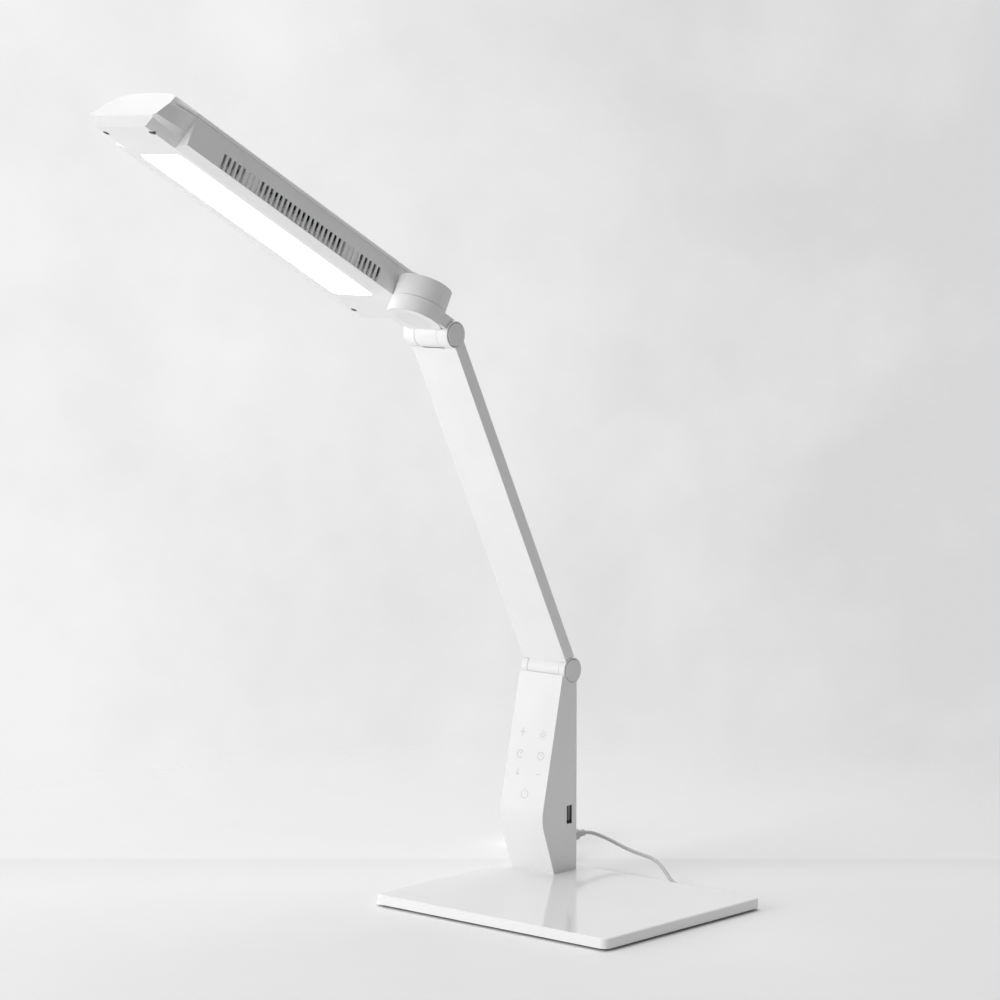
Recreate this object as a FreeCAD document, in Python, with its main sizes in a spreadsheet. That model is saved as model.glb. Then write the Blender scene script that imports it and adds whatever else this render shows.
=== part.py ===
import FreeCAD, Part
import Sketcher
import math
import os
from FreeCAD import Placement, Rotation, Vector

# Light therapy lamp: a weighted foot, a short raked post with touch keys, one swing arm and a
# long light head that tilts and swivels.
# Frame: origin at the centre of the rest face, +Z up, -Y towards the user, +X to their right.

os.makedirs("parts", exist_ok=True)
doc = FreeCAD.newDocument("LightTherapyLamp")
sheet = doc.addObject("Spreadsheet::Sheet", "Sizes")

SIZES = {
    # foot
    "foot_wide": 200.0, "foot_deep": 161.0, "foot_top": 8.0, "mat_thick": 1.5, "foot_wall": 1.6,
    "foot_skin": 1.9, "foot_corner": 5.0, "foot_edge": 1.5, "mat_inset": 3.0, "weight_gap": 0.4,
    "weight_top": 6.0, "foot_screw_in": 12.0,
    "foot_screw_x": "=foot_wide / 2 - foot_screw_in", "foot_screw_y": "=foot_deep / 2 - foot_screw_in",
    # post
    "post_in": 30.3, "post_x": "=post_in - foot_wide / 2", "half_wide": 19.3,
    "post_rear": 68.9, "post_bend_y": 32.07,
    "post_bend_z": 45.8, "post_toe_y": 45.3, "post_brow_y": 53.9, "post_brow_z": 143.4,
    "shell_wall": 2.0, "cover_thick": 1.8, "post_round": 25.0, "post_floor_z": 10.5,
    "post_roof_z": 134.0,
    # hinges
    "low_y": 64.5, "low_z": 146.3, "axle_rad": 2.5, "run_gap": 0.03, "recess_depth": 3.2,
    "recess_rad": 8.0, "cap_rad": 7.6, "cap_proud": 0.5,
    "low_knuckle": 9.0, "low_barrel": 8.9, "low_barrel_half": 14.0, "low_slot_half": 14.3,
    "up_knuckle": 8.8, "up_barrel": 8.7, "up_barrel_half": 9.6, "up_slot_half": 9.9,
    # arm, in its own frame along the hinge line
    "arm_lean": 26.77, "arm_long": 262.65, "arm_low_front": -3.2, "arm_top_front": -4.15,
    "arm_low_rear": 5.8, "arm_top_rear": 4.9, "arm_open_low": 14.0, "arm_open_end": 14.65,
    # neck and swivel, in the head's frame
    "head_lift": 28.1, "disc_rad": 18.5, "disc_u": 22.0, "disc_low": -1.0, "disc_top": 9.7,
    "neck_half": 18.0, "neck_top": 8.6, "swivel_rad": 5.0, "nut_recess": 12.0,
    # head, in the head's frame
    "head_mid": -46.0, "head_half": 32.0, "head_low": 9.1, "ridge_n": 11.4, "seam_n": 30.6,
    "crown_n": 40.0, "nose_start": 240.0, "nose_end": 272.0, "flat_half": 22.2,
    "seam_gap": 0.5, "seam_front": 256.6, "panel_half": 18.0, "panel_round": 4.0,
    "panel_rear": 36.0, "panel_front": 231.5, "hub_rad": 18.0,
    "hub_low": 10.1, "hub_top": 24.5, "slot_count": 35, "slot_pitch": 4.567, "slot_wide": 2.6,
    "slot_first": 51.3, "slot_low": 11.9, "slot_top": 21.9, "vent_low": 15.3, "vent_wall": 0.9,
    "lip_u": 268.0, "lip_n": 15.4, "visor_u": 270.0, "visor_n": 16.4,
    "visor_rake": 0.6945, "visor_thick": 2.5, "visor_gap": 0.4,
    "screw_off": 20.7, "screw_rear": 11.8, "screw_front": 259.5,
    # lead
    "lead_dia": 2.5, "plug_z": 26.0,
}
for row, (alias, value) in enumerate(SIZES.items(), start=1):
    sheet.set(f"A{row}", alias)
    sheet.set(f"B{row}", str(value))
    sheet.setAlias(f"B{row}", alias)
doc.recompute()

WORLD = Placement()
NODES = []


def size(alias):
    """Value of one cell of the sheet."""
    return float(getattr(sheet, alias))


def bind(text):
    """Expression text with every alias pointed at the sheet."""
    out = ""
    word = ""
    for sign in str(text) + " ":
        if sign.isalnum() or sign == "_":
            word += sign
            continue
        out += f"Sizes.{word}" if word in SIZES else word
        out += sign
        word = ""
    return out.strip()


def worth(text):
    """Number that an expression over the sheet stands for."""
    probe = sheet.evalExpression(bind(text))
    return float(getattr(probe, "Value", probe))


def keep(thing, node, frame):
    """Name a finished sub-part and put it in its group's frame."""
    if thing.TypeId in ("Part::Box", "Part::Cylinder"):
        thing = group(f"{thing.Name}Part", [thing])
    thing.Label = node
    thing.Placement = frame
    NODES.append(thing)
    return thing


def place(thing, at):
    for axis, text in zip("xyz", at):
        thing.setExpression(f"Placement.Base.{axis}", bind(text))


def box(name, spans):
    """Block from three (low, high) expression pairs."""
    thing = doc.addObject("Part::Box", name)
    place(thing, [low for low, high in spans])
    for side, (low, high) in zip(("Length", "Width", "Height"), spans):
        thing.setExpression(side, bind(f"({high}) - ({low})"))
    return thing


TURN = {
    "X": Rotation(Vector(0, 1, 0), 90),
    "Y": Rotation(Vector(1, 0, 0), -90),
    "Z": Rotation(),
}


def rod(name, radius, axis, start, end, across):
    """Round bar along one axis; across holds the other two coordinates in order."""
    thing = doc.addObject("Part::Cylinder", name)
    thing.Placement = Placement(Vector(), TURN[axis])
    at = list(across)
    at.insert("XYZ".index(axis), start)
    place(thing, at)
    thing.setExpression("Radius", bind(radius))
    thing.setExpression("Height", bind(f"({end}) - ({start})"))
    return thing


def cut(name, base, tools):
    thing = doc.addObject("Part::Cut", name)
    thing.Base = base
    thing.Tool = tools[0] if len(tools) == 1 else fuse(f"{name}Tools", tools)
    return thing


def fuse(name, pieces):
    thing = doc.addObject("Part::MultiFuse", name)
    thing.Shapes = pieces
    return thing


def group(name, pieces):
    thing = doc.addObject("Part::Compound", name)
    thing.Links = pieces
    return thing


def plane_of(body, role):
    return next(item for item in body.Origin.OriginFeatures if item.Role == role)


def sketch_on(body, name, role, offset):
    sketch = body.newObject("Sketcher::SketchObject", name)
    sketch.AttachmentSupport = [(plane_of(body, role), "")]
    sketch.MapMode = "FlatFace"
    sketch.setExpression("AttachmentOffset.Base.z", bind(offset))
    return sketch


def pin_point(sketch, item, where, at):
    """Dimension one sketch point from the origin in both directions."""
    for kind, text in zip(("DistanceX", "DistanceY"), at):
        index = sketch.addConstraint(Sketcher.Constraint(kind, -1, 1, item, where, worth(text)))
        sketch.setExpression(f"Constraints[{index}]", bind(text))


def outline(body, name, role, offset, points):
    """Closed polygon sketch whose corners are dimensioned from the origin."""
    sketch = sketch_on(body, name, role, offset)
    count = len(points)
    spots = [Vector(worth(x), worth(y), 0) for x, y in points]
    for i in range(count):
        sketch.addGeometry(Part.LineSegment(spots[i], spots[(i + 1) % count]))
    for i in range(count):
        sketch.addConstraint(Sketcher.Constraint("Coincident", i, 2, (i + 1) % count, 1))
    for i, at in enumerate(points):
        pin_point(sketch, i, 1, at)
    return sketch


def ring(body, name, role, offset, circles):
    """Sketch of full circles, each given as (centre x, centre y, radius)."""
    sketch = sketch_on(body, name, role, offset)
    for x, y, radius in circles:
        circle = Part.Circle(Vector(worth(x), worth(y), 0), Vector(0, 0, 1), worth(radius))
        item = sketch.addGeometry(circle)
        pin_point(sketch, item, 3, (x, y))
        index = sketch.addConstraint(Sketcher.Constraint("Radius", item, worth(radius)))
        sketch.setExpression(f"Constraints[{index}]", bind(radius))
    return sketch


def solid_of(body, name, kind, sketch, length):
    """Pad or pocket along the sketch's own normal."""
    before = body.Shape.Volume if body.Tip else 0.0
    thing = body.newObject(f"PartDesign::{kind}", name)
    thing.Profile = sketch
    thing.setExpression("Length", bind(length))
    if kind == "Pocket":
        thing.Reversed = True
    doc.recompute()
    change = thing.Shape.Volume - before
    if (kind == "Pocket") != (change < -1e-6):
        raise RuntimeError(f"{name} changed the volume by {change}")
    return thing


def round_edges(body, name, kind, value, spots):
    """Fillet or chamfer the edges whose centres lie at the given points."""
    shape = body.Shape
    base = body.Tip
    names = []
    for index, edge in enumerate(shape.Edges, start=1):
        if any(edge.CenterOfMass.distanceToPoint(spot) < 0.35 for spot in spots):
            names.append(f"Edge{index}")
    if len(names) < len(spots):
        raise RuntimeError(f"{name} found {len(names)} edges of {len(spots)}")
    thing = body.newObject(f"PartDesign::{kind}", name)
    thing.Base = (base, names)
    thing.setExpression("Radius" if kind == "Fillet" else "Size", bind(value))
    doc.recompute()
    return thing


def new_body(name):
    return doc.addObject("PartDesign::Body", name)


def rectangle(low_x, high_x, low_y, high_y):
    return [(low_x, low_y), (high_x, low_y), (high_x, high_y), (low_x, high_y)]


# ---------------------------------------------------------------- foot
body = new_body("FootCover")
half_x = "foot_wide / 2"
half_y = "foot_deep / 2"
rim = outline(body, "FootRim", "XY_Plane", "mat_thick",
              rectangle(f"-{half_x}", half_x, f"-{half_y}", half_y))
solid_of(body, "FootPad", "Pad", rim, "foot_top - mat_thick")
mid_z = (size("mat_thick") + size("foot_top")) / 2
corner_spots = [Vector(sx * size("foot_wide") / 2, sy * size("foot_deep") / 2, mid_z)
                for sx in (-1, 1) for sy in (-1, 1)]
round_edges(body, "FootCorners", "Fillet", "foot_corner", corner_spots)
top_spots = [Vector(0, sy * size("foot_deep") / 2, size("foot_top")) for sy in (-1, 1)]
round_edges(body, "FootTopEdge", "Fillet", "foot_edge", top_spots)
tray = outline(body, "FootTray", "XY_Plane", "mat_thick",
               rectangle(f"-{half_x} + foot_wall", f"{half_x} - foot_wall",
                         f"-{half_y} + foot_wall", f"{half_y} - foot_wall"))
solid_of(body, "FootHollow", "Pocket", tray, "foot_top - foot_skin - mat_thick")
SCREW_SPOTS = [(f"{sx}foot_screw_x", f"{sy}foot_screw_y") for sx in ("-", "") for sy in ("-", "")]
bosses = ring(body, "FootBosses", "XY_Plane", "3.5", [(x, y, "3.5") for x, y in SCREW_SPOTS])
solid_of(body, "FootBossPad", "Pad", bosses, "2.7")
pilots = ring(body, "FootPilots", "XY_Plane", "3.5", [(x, y, "1.5") for x, y in SCREW_SPOTS])
solid_of(body, "FootPilotHoles", "Pocket", pilots, "3.2")
POST_SCREWS = [("post_x - 11", "57"), ("post_x + 11", "57")]
through = ring(body, "FootPostHoles", "XY_Plane", "5",
               [(x, y, "2.2") for x, y in POST_SCREWS] + [("post_x", "57", "4")])
solid_of(body, "FootPostCut", "Pocket", through, "4")
keep(body, "base_cover", WORLD)

body = new_body("FootWeight")
plate = outline(body, "WeightEdge", "XY_Plane", "mat_thick",
                rectangle(f"-{half_x} + foot_wall + weight_gap", f"{half_x} - foot_wall - weight_gap",
                          f"-{half_y} + foot_wall + weight_gap", f"{half_y} - foot_wall - weight_gap"))
solid_of(body, "WeightPad", "Pad", plate, "weight_top - mat_thick")
wells = ring(body, "WeightWells", "XY_Plane", "3.4", [(x, y, "3.9") for x, y in SCREW_SPOTS])
solid_of(body, "WeightWellCut", "Pocket", wells, "3")
holes = ring(body, "WeightHoles", "XY_Plane", "mat_thick",
             [(x, y, "1.7") for x, y in SCREW_SPOTS] + [(x, y, "2.2") for x, y in POST_SCREWS])
solid_of(body, "WeightHoleCut", "Pocket", holes, "5")
heads = ring(body, "WeightHeads", "XY_Plane", "mat_thick",
             [(x, y, "3.2") for x, y in SCREW_SPOTS] + [(x, y, "4.2") for x, y in POST_SCREWS])
solid_of(body, "WeightHeadCut", "Pocket", heads, "1.5")
keep(body, "base_weight", WORLD)

body = new_body("FootMat")
mat = outline(body, "MatEdge", "XY_Plane", "0",
              rectangle(f"-{half_x} + mat_inset", f"{half_x} - mat_inset",
                        f"-{half_y} + mat_inset", f"{half_y} - mat_inset"))
solid_of(body, "MatPad", "Pad", mat, "mat_thick")
mat_spots = [Vector(sx * (size("foot_wide") / 2 - size("mat_inset")),
                    sy * (size("foot_deep") / 2 - size("mat_inset")), size("mat_thick") / 2)
             for sx in (-1, 1) for sy in (-1, 1)]
round_edges(body, "MatCorners", "Fillet", "3", mat_spots)
keep(body, "base_mat", WORLD)


def screw(name, axis, across, head, shank, head_rad, shank_rad):
    """Screw as a round head and shank, each from start to end along one axis."""
    cap = rod(f"{name}Head", head_rad, axis, head[0], head[1], across)
    stem = rod(f"{name}Shank", shank_rad, axis, shank[0], shank[1], across)
    return fuse(name, [cap, stem])


keep(group("FootScrews", [
    screw(f"FootScrew{i}", "Z", spot, ("1.7", "3.0"), ("2.9", "6.5"), "2.8", "1.45")
    for i, spot in enumerate(SCREW_SPOTS)]), "base_screws", WORLD)
keep(group("PostFootScrews", [
    screw(f"PostFootScrew{i}", "Z", spot, ("1.6", "3.0"), ("2.9", "18"), "3.9", "1.65")
    for i, spot in enumerate(POST_SCREWS)]), "post_base_screws", WORLD)

# ---------------------------------------------------------------- post
left = "post_x - half_wide"
right = "post_x + half_wide"
body = new_body("PostHousing")
side = outline(body, "PostSide", "YZ_Plane", left,
               [("post_toe_y", "foot_top"), ("post_rear", "foot_top"), ("post_rear", "144"),
                ("post_brow_y + 0.2", "144"), ("post_bend_y", "post_bend_z")])
solid_of(body, "PostPad", "Pad", side, "2 * half_wide")
inner = outline(body, "PostInside", "YZ_Plane", "post_x - half_wide + shell_wall",
                [("46.33", "post_floor_z"), ("post_rear + 5", "post_floor_z"),
                 ("post_rear + 5", "post_roof_z"), ("53.64", "post_roof_z"), ("33.94", "45.91")])
solid_of(body, "PostHollow", "Pocket", inner, "2 * (half_wide - shell_wall)")
round_edges(body, "PostKnee", "Fillet", "post_round",
            [Vector(size("post_x"), size("post_bend_y"), size("post_bend_z"))])
round_edges(body, "PostKneeInside", "Fillet", "post_round - 2", [Vector(size("post_x"), 33.94, 45.91)])
ears = ring(body, "PostEarLeft", "YZ_Plane", left, [("low_y", "low_z", "low_knuckle")])
solid_of(body, "PostEarLeftPad", "Pad", ears, "half_wide - low_slot_half")
ears = ring(body, "PostEarRight", "YZ_Plane", "post_x + low_slot_half", [("low_y", "low_z", "low_knuckle")])
solid_of(body, "PostEarRightPad", "Pad", ears, "half_wide - low_slot_half")
saddle = ring(body, "PostSaddle", "YZ_Plane", "post_x - low_slot_half", [("low_y", "low_z", "9.3")])
solid_of(body, "PostSaddleCut", "Pocket", saddle, "2 * low_slot_half")
bore = ring(body, "PostBore", "YZ_Plane", f"{left} - 1", [("low_y", "low_z", "axle_rad + run_gap")])
solid_of(body, "PostBoreCut", "Pocket", bore, "2 * half_wide + 2")
for tag, offset in (("Left", left), ("Right", f"{right} - recess_depth")):
    dish = ring(body, f"PostDish{tag}", "YZ_Plane", offset, [("low_y", "low_z", "recess_rad")])
    solid_of(body, f"PostDish{tag}Cut", "Pocket", dish, "recess_depth")
bosses = ring(body, "PostBosses", "XY_Plane", "post_floor_z - 0.5", [(x, y, "4") for x, y in POST_SCREWS])
solid_of(body, "PostBossPad", "Pad", bosses, "10")
pilots = ring(body, "PostPilots", "XY_Plane", "foot_top",
              [(x, y, "1.7") for x, y in POST_SCREWS] + [("post_x", "57", "4")])
solid_of(body, "PostPilotCut", "Pocket", pilots, "13")
gate = outline(body, "UsbGate", "YZ_Plane", f"{right} - shell_wall - 1",
               rectangle("61.5 - 2.9", "61.5 + 2.9", "47 - 6.6", "47 + 6.6"))
solid_of(body, "UsbGateCut", "Pocket", gate, "shell_wall + 2")
wire_way = ring(body, "WireWay", "XY_Plane", "post_roof_z - 1", [("post_x", "61", "2")])
solid_of(body, "WireWayCut", "Pocket", wire_way, "6")
COVER_BOSSES = [("44.3", "14.8"), ("51.2", "127.5")]
for i, (start, height) in enumerate(COVER_BOSSES):
    stud = ring(body, f"CoverBoss{i}", "XZ_Plane", "-(post_rear - cover_thick)",
                [("post_x", height, "2.6")])
    pad = solid_of(body, f"CoverBossPad{i}", "Pad", stud, f"post_rear - cover_thick - {start}")
    hole = ring(body, f"CoverPilot{i}", "XZ_Plane", "-(post_rear - cover_thick)",
                [("post_x", height, "1.05")])
    solid_of(body, f"CoverPilotCut{i}", "Pocket", hole, "9")
keep(body, "post_housing", WORLD)

plate = box("PostCoverPlate", [("post_x - 17.2", "post_x + 17.2"),
                               ("post_rear - cover_thick", "post_rear"),
                               ("post_floor_z + 0.1", "post_roof_z - 0.1")])
tools = [rod("PlugGate", "5.2", "Y", "post_rear - 3", "post_rear + 1", ("post_x", "plug_z"))]
for i, (start, height) in enumerate(COVER_BOSSES):
    tools.append(rod(f"CoverHole{i}", "1.3", "Y", "post_rear - 3", "post_rear + 1", ("post_x", height)))
    tools.append(rod(f"CoverSink{i}", "2.1", "Y", "post_rear - 1.1", "post_rear + 1", ("post_x", height)))
keep(cut("PostRearCover", plate, tools), "post_rear_cover", WORLD)
keep(group("PostScrews", [
    screw(f"PostScrew{i}", "Y", ("post_x", height), ("post_rear - 1.1", "post_rear - 0.1"),
          ("post_rear - 9", "post_rear - 1"), "1.9", "1")
    for i, (start, height) in enumerate(COVER_BOSSES)]), "post_screws", WORLD)

body = new_body("TouchBoard")
slope = "(post_brow_y - post_bend_y) / (post_brow_z - post_bend_z)"
front_62 = f"post_bend_y + (62 - post_bend_z) * {slope} + 2.2"
front_118 = f"post_bend_y + (118 - post_bend_z) * {slope} + 2.2"
strip = outline(body, "TouchStrip", "YZ_Plane", "post_x - 15",
                [(front_62, "62"), (f"{front_62} + 1.64", "62"),
                 (f"{front_118} + 1.64", "118"), (front_118, "118")])
solid_of(body, "TouchPad", "Pad", strip, "30")
touch_board = keep(body, "touch_board", WORLD)
slab = box("ControlSlab", [("post_x - 15", "post_x + 15"), ("57", "58.6"), ("36", "100")])
keep(slab, "control_board", WORLD)
keep(group("BoardComponents", [
    box("Driver", [("post_x - 6", "post_x + 4"), ("58.6", "60.4"), ("62", "72")]),
    box("Choke", [("post_x - 12", "post_x - 3"), ("58.6", "63.6"), ("78", "87")]),
    rod("Capacitor", "4", "Y", "58.6", "65.6", ("post_x + 7", "86")),
    box("Regulator", [("post_x - 13", "post_x - 7"), ("58.6", "61"), ("48", "56")])]),
    "board_components", WORLD)

can = box("UsbCan", [(f"{right} - 14.3", f"{right} - 0.3"), ("61.5 - 2.85", "61.5 + 2.85"),
                     ("47 - 6.55", "47 + 6.55")])
mouth = box("UsbMouth", [(f"{right} - 13.5", f"{right}"), ("61.5 - 2.55", "61.5 + 2.55"),
                         ("47 - 6.25", "47 + 6.25")])
keep(cut("UsbSocket", can, [mouth]), "usb_socket", WORLD)
keep(box("UsbTongue", [(f"{right} - 13.5", f"{right} - 4.6"), ("61.5 - 0.4", "61.5 + 1.44"),
                       ("47 - 5.5", "47 + 5.5")]), "usb_tongue", WORLD)

block = box("JackBlock", [("post_x - 4.5", "post_x + 4.5"), ("55", "66.9"), ("20.5", "31.5")])
keep(cut("DcJack", block, [rod("JackBore", "2.8", "Y", "56.5", "68", ("post_x", "plug_z"))]),
     "dc_jack", WORLD)


# ---------------------------------------------------------------- hinges
def hinge_parts(prefix, node, frame, centre):
    """Axle with a head, its nut and the two end caps of one hinge, along X."""
    across = centre
    mid = "post_x" if frame == WORLD else "0"
    seat = f"{mid} + half_wide - recess_depth"
    back = f"{mid} - half_wide + recess_depth"
    stem = rod(f"{prefix}Stem", "axle_rad", "X", back, f"{seat} + 2.2", across)
    knob = rod(f"{prefix}Knob", "4.2", "X", f"{back} - 2", back, across)
    keep(fuse(f"{prefix}Axle", [stem, knob]), f"{node}_axle", frame)
    shell = doc.addObject("Part::Prism", f"{prefix}NutHex")
    shell.Polygon = 6
    shell.Placement = Placement(Vector(), TURN["X"])
    place(shell, [seat, across[0], across[1]])
    shell.Circumradius = 4.6
    shell.Height = 2
    bore = rod(f"{prefix}NutBore", "axle_rad", "X", f"{seat} - 1", f"{seat} + 4", across)
    keep(cut(f"{prefix}Nut", shell, [bore]), f"{node}_axle_nut", frame)
    caps = []
    for tag, start, end, skirt in (
            ("Left", f"{mid} - half_wide - cap_proud", f"{mid} - half_wide + 0.9", (f"{back}", 1)),
            ("Right", f"{mid} + half_wide - 0.9", f"{mid} + half_wide + cap_proud", (f"{seat}", 0))):
        face = rod(f"{prefix}Cap{tag}Face", "cap_rad", "X", start, end, across)
        low, high = (end, skirt[0]) if skirt[1] else (skirt[0], start)
        wall = rod(f"{prefix}Cap{tag}Wall", "cap_rad", "X", low, high, across)
        well = rod(f"{prefix}Cap{tag}Well", "cap_rad - 1", "X", f"{low} - 0.1", f"{high} + 0.1", across)
        caps.append(fuse(f"{prefix}Cap{tag}", [face, cut(f"{prefix}Cap{tag}Skirt", wall, [well])]))
    keep(group(f"{prefix}Caps", caps), f"{node}_hinge_caps", frame)


def washers(prefix, node, frame, mid, radius, spans, across):
    rings = []
    for tag, (low, high) in zip(("Left", "Right"), spans):
        plate = rod(f"{prefix}{tag}Plate", radius, "X", low, high, across)
        hole = rod(f"{prefix}{tag}Hole", "axle_rad + 0.2", "X", f"{low} - 1", f"{high} + 1", across)
        rings.append(cut(f"{prefix}{tag}Ring", plate, [hole]))
    keep(group(f"{prefix}Washers", rings), node, frame)


hinge_parts("Lower", "lower", WORLD, ("low_y", "low_z"))

ARM_FRAME = Placement(Vector(size("post_x"), size("low_y"), size("low_z")),
                      Rotation(Vector(1, 0, 0), size("arm_lean")))
washers("LowerFriction", "lower_friction_washers", ARM_FRAME, "0", "6.6",
        [("-14.2", "-11"), ("11", "14.2")], ("0", "0"))

# ---------------------------------------------------------------- arm
ARM_TOP = "(arm_long - arm_open_end)"


def arm_rear(height):
    return f"(arm_low_rear + (arm_top_rear - arm_low_rear) * ({height}) / arm_long)"


def arm_inside(height):
    """Inner face of the front wall at one height."""
    return f"(arm_low_front + (arm_top_front - arm_low_front) * ({height}) / arm_long + shell_wall)"


body = new_body("ArmShell")
side = outline(body, "ArmSide", "YZ_Plane", "-half_wide",
               [("arm_low_front", "0"), ("arm_low_rear", "0"), ("arm_top_rear", "arm_long"),
                ("arm_top_front", "arm_long")])
solid_of(body, "ArmPad", "Pad", side, "2 * half_wide")
inner = outline(body, "ArmInside", "YZ_Plane", "-half_wide + shell_wall",
                [(arm_inside("arm_open_low"), "arm_open_low"), ("20", "arm_open_low"),
                 ("20", ARM_TOP), (arm_inside(ARM_TOP), ARM_TOP)])
solid_of(body, "ArmHollow", "Pocket", inner, "2 * (half_wide - shell_wall)")
for tag, offset in (("Left", "-half_wide"), ("Right", "low_barrel_half")):
    cheek = ring(body, f"ArmLowCheek{tag}", "YZ_Plane", offset, [("0", "0", "9.5")])
    solid_of(body, f"ArmLowCheek{tag}Cut", "Pocket", cheek, "half_wide - low_barrel_half")
slot = ring(body, "ArmTopSlot", "YZ_Plane", "-up_slot_half", [("0", "arm_long", "9.3")])
solid_of(body, "ArmTopSlotCut", "Pocket", slot, "2 * up_slot_half")
barrel = ring(body, "ArmBarrel", "YZ_Plane", "-low_barrel_half", [("0", "0", "low_barrel")])
solid_of(body, "ArmBarrelPad", "Pad", barrel, "2 * low_barrel_half")
for tag, offset in (("Left", "-half_wide"), ("Right", "up_slot_half")):
    ear = ring(body, f"ArmEar{tag}", "YZ_Plane", offset, [("0", "arm_long", "up_knuckle")])
    solid_of(body, f"ArmEar{tag}Pad", "Pad", ear, "half_wide - up_slot_half")
bores = ring(body, "ArmBores", "YZ_Plane", "-half_wide - 1",
             [("0", "0", "axle_rad + run_gap"), ("0", "arm_long", "axle_rad + run_gap")])
solid_of(body, "ArmBoreCut", "Pocket", bores, "2 * half_wide + 2")
for tag, low, up in (("Left", "-low_barrel_half", "-half_wide"),
                     ("Right", "low_barrel_half - 3", "half_wide - recess_depth")):
    seat = ring(body, f"ArmWasherSeat{tag}", "YZ_Plane", low, [("0", "0", "7")])
    solid_of(body, f"ArmWasherSeat{tag}Cut", "Pocket", seat, "3")
    dish = ring(body, f"ArmDish{tag}", "YZ_Plane", up, [("0", "arm_long", "recess_rad")])
    solid_of(body, f"ArmDish{tag}Cut", "Pocket", dish, "recess_depth")
ARM_SCREWS = [(x, height) for height in ("(arm_open_low + 10)", f"({ARM_TOP} - 12)")
              for x in ("-14.1", "14.1")]
for i, (x, height) in enumerate(ARM_SCREWS):
    reach = f"{arm_rear(height)} - cover_thick - 0.05"
    start = f"{arm_inside(height)} - 1"
    stud = ring(body, f"ArmBoss{i}", "XZ_Plane", f"-({reach})", [(x, height, "2.3")])
    solid_of(body, f"ArmBossPad{i}", "Pad", stud, f"{reach} - ({start})")
    hole = ring(body, f"ArmPilot{i}", "XZ_Plane", f"-({reach})", [(x, height, "0.95")])
    solid_of(body, f"ArmPilotCut{i}", "Pocket", hole, "4.5")
vent = ring(body, "ArmWireWays", "XY_Plane", "6", [("0", "1.6", "1.6")])
solid_of(body, "ArmWireWayCut", "Pocket", vent, "9")
keep(body, "arm_front_shell", ARM_FRAME)

body = new_body("ArmCover")
low_z = "arm_open_low + 0.15"
top_z = f"{ARM_TOP} - 0.15"
strip = outline(body, "ArmCoverSide", "YZ_Plane", "-(half_wide - shell_wall - 0.15)",
                [(f"{arm_rear(low_z)} - cover_thick", low_z), (arm_rear(low_z), low_z),
                 (arm_rear(top_z), top_z), (f"{arm_rear(top_z)} - cover_thick", top_z)])
solid_of(body, "ArmCoverPad", "Pad", strip, "2 * (half_wide - shell_wall - 0.15)")
for i, (x, height) in enumerate(ARM_SCREWS):
    hole = ring(body, f"ArmCoverHole{i}", "XZ_Plane", f"-({arm_rear(height)} + 1)", [(x, height, "1.15")])
    solid_of(body, f"ArmCoverHoleCut{i}", "Pocket", hole, "5")
    sink = ring(body, f"ArmCoverSink{i}", "XZ_Plane", f"-({arm_rear(height)} + 1)", [(x, height, "2")])
    solid_of(body, f"ArmCoverSinkCut{i}", "Pocket", sink, "2")
keep(body, "arm_rear_cover", ARM_FRAME)
keep(group("ArmScrews", [
    screw(f"ArmScrew{i}", "Y", (x, height), (f"{arm_rear(height)} - 1", f"{arm_rear(height)} - 0.1"),
          (f"{arm_rear(height)} - 5.6", f"{arm_rear(height)} - 0.9"), "1.8", "0.9")
    for i, (x, height) in enumerate(ARM_SCREWS)]), "arm_screws", ARM_FRAME)

body = new_body("ArmCore")
core_low = "arm_open_low + 4"
core_top = f"{ARM_TOP} - 5"
strip = outline(body, "ArmCoreSide", "YZ_Plane", "-10",
                [(arm_inside(core_low), core_low), (f"{arm_inside(core_low)} + 2.5", core_low),
                 (f"{arm_inside(core_top)} + 2.5", core_top), (arm_inside(core_top), core_top)])
solid_of(body, "ArmCorePad", "Pad", strip, "20")
keep(body, "arm_core", ARM_FRAME)
body = new_body("ArmRibbon")
wire_low = "arm_open_low + 2"
wire_top = f"{ARM_TOP} - 2"
strip = outline(body, "ArmRibbonSide", "YZ_Plane", "-2.2",
                [(f"{arm_inside(wire_low)} + 2.55", wire_low), (f"{arm_inside(wire_low)} + 3.95", wire_low),
                 (f"{arm_inside(wire_top)} + 3.95", wire_top), (f"{arm_inside(wire_top)} + 2.55", wire_top)])
solid_of(body, "ArmRibbonPad", "Pad", strip, "4.4")
keep(body, "arm_ribbon_cable", ARM_FRAME)
hinge_parts("Upper", "upper", ARM_FRAME, ("0", "arm_long"))

# ---------------------------------------------------------------- neck and swivel
HEAD_FRAME = Placement(ARM_FRAME.multVec(Vector(0, 0, size("arm_long"))),
                       Rotation(Vector(1, 0, 0), -size("head_lift")))
body = new_body("Neck")
disc = ring(body, "NeckDisc", "XY_Plane", "disc_low", [("0", "-disc_u", "disc_rad")])
solid_of(body, "NeckDiscPad", "Pad", disc, "disc_top - disc_low")
web = outline(body, "NeckWeb", "XY_Plane", "0", rectangle("-neck_half", "neck_half", "-disc_u", "0"))
solid_of(body, "NeckWebPad", "Pad", web, "neck_top")
for tag, offset in (("Left", "-neck_half - 1"), ("Right", "up_barrel_half")):
    cheek = ring(body, f"NeckCheek{tag}", "YZ_Plane", offset, [("0", "0", "9.3")])
    solid_of(body, f"NeckCheek{tag}Cut", "Pocket", cheek, "neck_half - up_barrel_half + 1")
barrel = ring(body, "NeckBarrel", "YZ_Plane", "-up_barrel_half", [("0", "0", "up_barrel")])
solid_of(body, "NeckBarrelPad", "Pad", barrel, "2 * up_barrel_half")
bore = ring(body, "NeckBore", "YZ_Plane", "-up_barrel_half - 1", [("0", "0", "axle_rad + run_gap")])
solid_of(body, "NeckBoreCut", "Pocket", bore, "2 * up_barrel_half + 2")
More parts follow.
